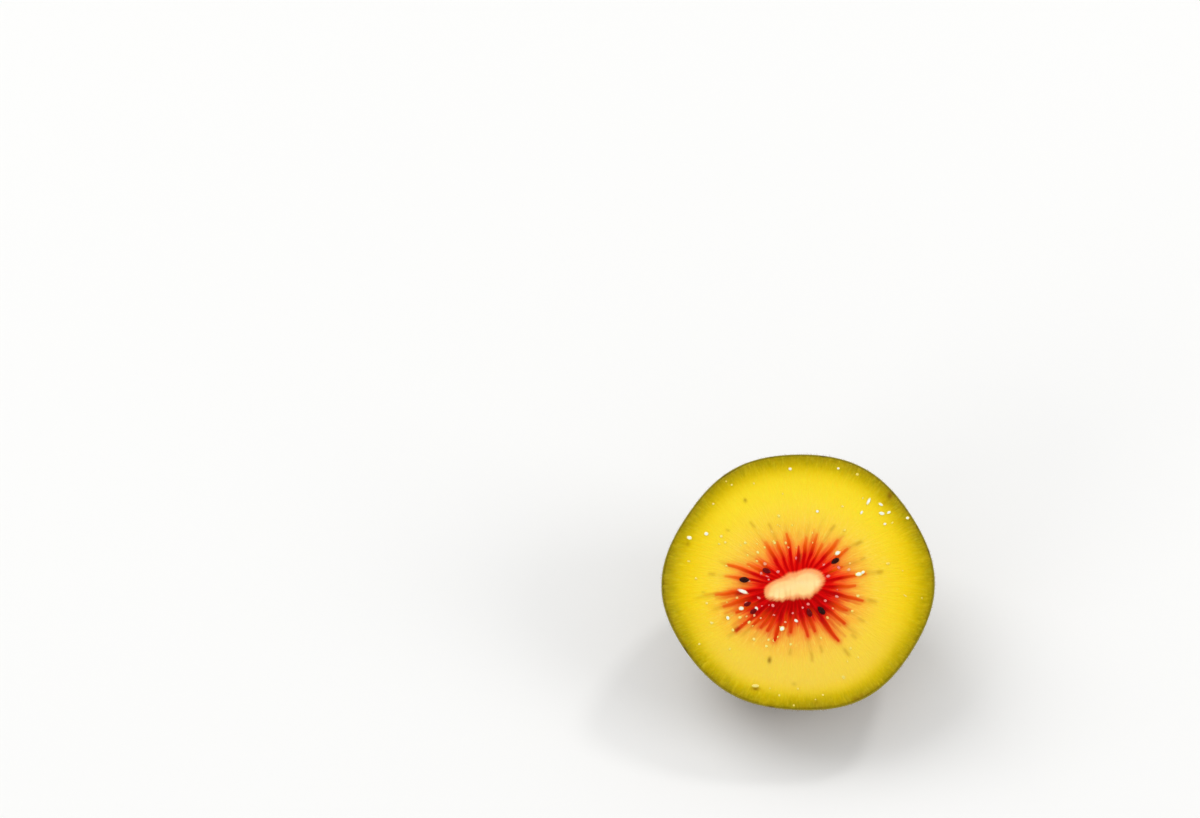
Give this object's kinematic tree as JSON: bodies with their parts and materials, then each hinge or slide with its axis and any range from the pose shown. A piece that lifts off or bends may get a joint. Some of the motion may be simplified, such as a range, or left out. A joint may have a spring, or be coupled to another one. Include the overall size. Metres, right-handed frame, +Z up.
{
  "type": "kiwi fruit half",
  "caption": "Cut half of a red-fleshed kiwi fruit: oval yellow face with a pale heart, red rays and dark seeds, brown skin, resting tilted on a small flat spot.",
  "frame": {"origin": "on the surface it rests on, under the middle of the half's box, inside the flat spot", "axes": "+Z up, +X along the long way of the oval cut face, -Y towards the side that the tilted cut face looks to"},
  "size_m": [0.0544, 0.049, 0.0429],
  "materials": {
    "fruit": "moist golden flesh with a red heart, and dull brown-olive skin with fine fuzz"
  },
  "bodies": {
    "root": {"kiwi_half": "fruit"}
  },
  "joints": []
}
